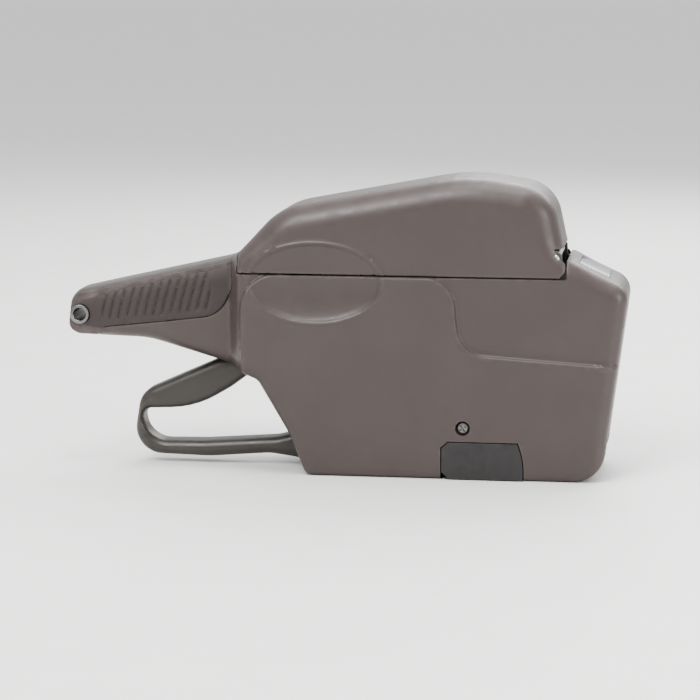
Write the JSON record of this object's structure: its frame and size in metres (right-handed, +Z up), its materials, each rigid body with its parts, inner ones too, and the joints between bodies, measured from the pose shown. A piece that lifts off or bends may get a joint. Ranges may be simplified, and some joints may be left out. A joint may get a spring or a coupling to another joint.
{
  "type": "price labeling gun",
  "caption": "Hand-held two-line price labeller: rear handle with finger-loop trigger, hinged roll cover, print head with type wheels, ink roller, label feed and applicator roller.",
  "frame": {"origin": "on the flat underside, in the mid-plane between the two casing halves, below the trigger pivot area", "axes": "+X forward towards the nose and applicator roller, +Y to the user's left, +Z up from the base"},
  "size_m": [0.2262, 0.055, 0.1185],
  "materials": {
    "casing_plastic": "fine spark-eroded texture, satin",
    "frame_plastic": "moulded, satin",
    "trigger_plastic": "fine texture, satin",
    "grip_rubber": "ribbed, soft",
    "roller_rubber": "ground, matt",
    "steel": "drawn",
    "screw_steel": "blackened",
    "label_paper": "uncoated",
    "core_card": "raw",
    "wheel_plastic": "moulded, satin",
    "band_rubber": "moulded",
    "ink_felt": "ink-soaked foam",
    "window_clear": "clear, polished",
    "foot_rubber": "ribbed"
  },
  "bodies": {
    "housing": {"left_casing": "casing_plastic", "right_casing": "casing_plastic", "left_side_frame": "frame_plastic", "right_side_frame": "frame_plastic", "frame_spacers": "steel", "left_screws": "screw_steel", "right_screw": "screw_steel", "handle_screws": "screw_steel", "left_grip": "grip_rubber", "right_grip": "grip_rubber", "lanyard_bush": "steel", "foot_plate": "foot_rubber", "reading_window": "window_clear", "trigger_pin": "steel", "yoke_pin": "steel", "cover_hinge_pin": "steel", "door_pin": "steel", "left_roll_hub": "frame_plastic", "right_roll_hub": "frame_plastic", "platen": "steel", "platen_pad": "roller_rubber", "feed_axle": "steel", "applicator_axle": "steel", "check_pawl": "steel", "label_strip": "label_paper", "trigger_spring": "steel", "ink_arm_spring": "steel"},
    "trigger": {"trigger_lever": "trigger_plastic", "drive_pin": "steel"},
    "print_head": {"head_yoke": "frame_plastic", "head_block": "wheel_plastic", "line_1_bands": "band_rubber", "line_2_bands": "band_rubber", "feed_pawl": "steel", "line_1_shaft": "steel", "line_2_shaft": "steel"},
    "line_1_setting_knob": {"line_1_knob": "frame_plastic"},
    "line_2_setting_knob": {"line_2_knob": "frame_plastic"},
    "feed": {"feed_drum": "wheel_plastic", "ratchet_wheel": "frame_plastic"},
    "ink_arm": {"ink_carrier": "frame_plastic"},
    "ink_roll": {"ink_roller": "ink_felt"},
    "applicator": {"applicator_roller": "roller_rubber"},
    "door": {"bottom_door": "frame_plastic"},
    "pinch": {"pressure_roller": "roller_rubber"},
    "supply_roll": {"label_roll": "label_paper", "roll_core": "core_card"},
    "cover": {"roll_cover": "casing_plastic"},
    "line_1_digit_1": {"line_1_wheel_1": "wheel_plastic"},
    "line_1_digit_2": {"line_1_wheel_2": "wheel_plastic"},
    "line_1_digit_3": {"line_1_wheel_3": "wheel_plastic"},
    "line_1_digit_4": {"line_1_wheel_4": "wheel_plastic"},
    "line_1_digit_5": {"line_1_wheel_5": "wheel_plastic"},
    "line_1_digit_6": {"line_1_wheel_6": "wheel_plastic"},
    "line_2_digit_1": {"line_2_wheel_1": "wheel_plastic"},
    "line_2_digit_2": {"line_2_wheel_2": "wheel_plastic"},
    "line_2_digit_3": {"line_2_wheel_3": "wheel_plastic"},
    "line_2_digit_4": {"line_2_wheel_4": "wheel_plastic"},
    "line_2_digit_5": {"line_2_wheel_5": "wheel_plastic"},
    "line_2_digit_6": {"line_2_wheel_6": "wheel_plastic"}
  },
  "joints": [
    {"name": "trigger_squeeze", "type": "hinge", "parent": "housing", "child": "trigger", "pos_m": [-0.014, 0, 0.036], "axis": [0, 1, 0], "range_deg": [0, 16], "stiffness_Nm_per_rad": 2, "springref_deg": -11.46},
    {"name": "print_stroke", "type": "hinge", "parent": "housing", "child": "print_head", "pos_m": [-0.026, 0, 0.056], "axis": [0, 1, 0], "range_deg": [0, 6.64]},
    {"name": "ink_arm_swing", "type": "hinge", "parent": "housing", "child": "ink_arm", "pos_m": [0.102, 0, 0.04], "axis": [0, -1, 0], "range_deg": [0, 33.6]},
    {"name": "ink_roller_spin", "type": "hinge", "parent": "ink_arm", "child": "ink_roll", "pos_m": [0.0905, 0, 0.0275], "axis": [0, 1, 0], "continuous": true},
    {"name": "feed_drum_spin", "type": "hinge", "parent": "housing", "child": "feed", "pos_m": [0.056, 0, 0.015], "axis": [0, 1, 0], "continuous": true},
    {"name": "applicator_spin", "type": "hinge", "parent": "housing", "child": "applicator", "pos_m": [0.0955, 0, 0.0076], "axis": [0, 1, 0], "continuous": true},
    {"name": "label_roll_spin", "type": "hinge", "parent": "housing", "child": "supply_roll", "pos_m": [0.022, 0, 0.078], "axis": [0, 1, 0], "continuous": true},
    {"name": "bottom_door_swing", "type": "hinge", "parent": "housing", "child": "door", "pos_m": [0.042, 0, 0.0032], "axis": [0, 1, 0], "range_deg": [0, 55]},
    {"name": "pressure_roller_spin", "type": "hinge", "parent": "door", "child": "pinch", "pos_m": [0.056, 0, 0.0043], "axis": [0, 1, 0], "continuous": true},
    {"name": "roll_cover_swing", "type": "hinge", "parent": "housing", "child": "cover", "pos_m": [0.0846, 0, 0.088], "axis": [0, 1, 0], "range_deg": [0, 55]},
    {"name": "line_1_set", "type": "hinge", "parent": "print_head", "child": "line_1_setting_knob", "pos_m": [0.076, 0, 0.052], "axis": [0, 1, 0], "continuous": true},
    {"name": "line_2_set", "type": "hinge", "parent": "print_head", "child": "line_2_setting_knob", "pos_m": [0.092, 0, 0.052], "axis": [0, 1, 0], "continuous": true},
    {"name": "line_1_digit_1_turn", "type": "hinge", "parent": "print_head", "child": "line_1_digit_1", "pos_m": [0.076, 0, 0.052], "axis": [0, 1, 0], "continuous": true},
    {"name": "line_1_digit_2_turn", "type": "hinge", "parent": "print_head", "child": "line_1_digit_2", "pos_m": [0.076, 0, 0.052], "axis": [0, 1, 0], "continuous": true},
    {"name": "line_1_digit_3_turn", "type": "hinge", "parent": "print_head", "child": "line_1_digit_3", "pos_m": [0.076, 0, 0.052], "axis": [0, 1, 0], "continuous": true},
    {"name": "line_1_digit_4_turn", "type": "hinge", "parent": "print_head", "child": "line_1_digit_4", "pos_m": [0.076, 0, 0.052], "axis": [0, 1, 0], "continuous": true},
    {"name": "line_1_digit_5_turn", "type": "hinge", "parent": "print_head", "child": "line_1_digit_5", "pos_m": [0.076, 0, 0.052], "axis": [0, 1, 0], "continuous": true},
    {"name": "line_1_digit_6_turn", "type": "hinge", "parent": "print_head", "child": "line_1_digit_6", "pos_m": [0.076, 0, 0.052], "axis": [0, 1, 0], "continuous": true},
    {"name": "line_2_digit_1_turn", "type": "hinge", "parent": "print_head", "child": "line_2_digit_1", "pos_m": [0.092, 0, 0.052], "axis": [0, 1, 0], "continuous": true},
    {"name": "line_2_digit_2_turn", "type": "hinge", "parent": "print_head", "child": "line_2_digit_2", "pos_m": [0.092, 0, 0.052], "axis": [0, 1, 0], "continuous": true},
    {"name": "line_2_digit_3_turn", "type": "hinge", "parent": "print_head", "child": "line_2_digit_3", "pos_m": [0.092, 0, 0.052], "axis": [0, 1, 0], "continuous": true},
    {"name": "line_2_digit_4_turn", "type": "hinge", "parent": "print_head", "child": "line_2_digit_4", "pos_m": [0.092, 0, 0.052], "axis": [0, 1, 0], "continuous": true},
    {"name": "line_2_digit_5_turn", "type": "hinge", "parent": "print_head", "child": "line_2_digit_5", "pos_m": [0.092, 0, 0.052], "axis": [0, 1, 0], "continuous": true},
    {"name": "line_2_digit_6_turn", "type": "hinge", "parent": "print_head", "child": "line_2_digit_6", "pos_m": [0.092, 0, 0.052], "axis": [0, 1, 0], "continuous": true}
  ],
  "couplings": [
    {"joint": "print_stroke", "follows": "trigger_squeeze", "ratio": 0.415},
    {"joint": "ink_arm_swing", "follows": "trigger_squeeze", "ratio": 2.1},
    {"joint": "pressure_roller_spin", "follows": "feed_drum_spin", "ratio": -3.7949},
    {"joint": "line_1_digit_1_turn", "follows": "line_1_set", "ratio": 1},
    {"joint": "line_2_digit_1_turn", "follows": "line_2_set", "ratio": 1}
  ]
}
